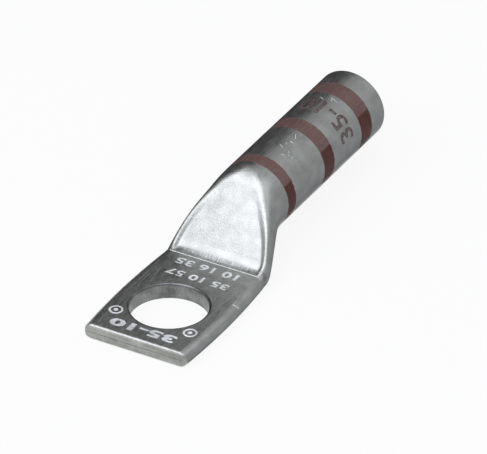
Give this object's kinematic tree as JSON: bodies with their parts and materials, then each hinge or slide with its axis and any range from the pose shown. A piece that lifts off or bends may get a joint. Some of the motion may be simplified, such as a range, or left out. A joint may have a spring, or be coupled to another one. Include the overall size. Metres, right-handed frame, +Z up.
{
  "type": "copper cable lug",
  "caption": "Compression cable lug for a stranded conductor: a round wire barrel narrows through a pressed ramp into a flat tongue with a stud hole",
  "frame": {"origin": "centre of the stud hole on the contact face, the underside of the tongue", "axes": "+X along the barrel to its open mouth, +Z up from the contact face along the stud, +Y to the left"},
  "size_m": [0.0572, 0.016, 0.0117],
  "materials": {
    "tinned_copper": "dull tin plating with drawn lines and light handling scratches"
  },
  "bodies": {
    "root": {"lug": "tinned_copper"}
  },
  "joints": []
}
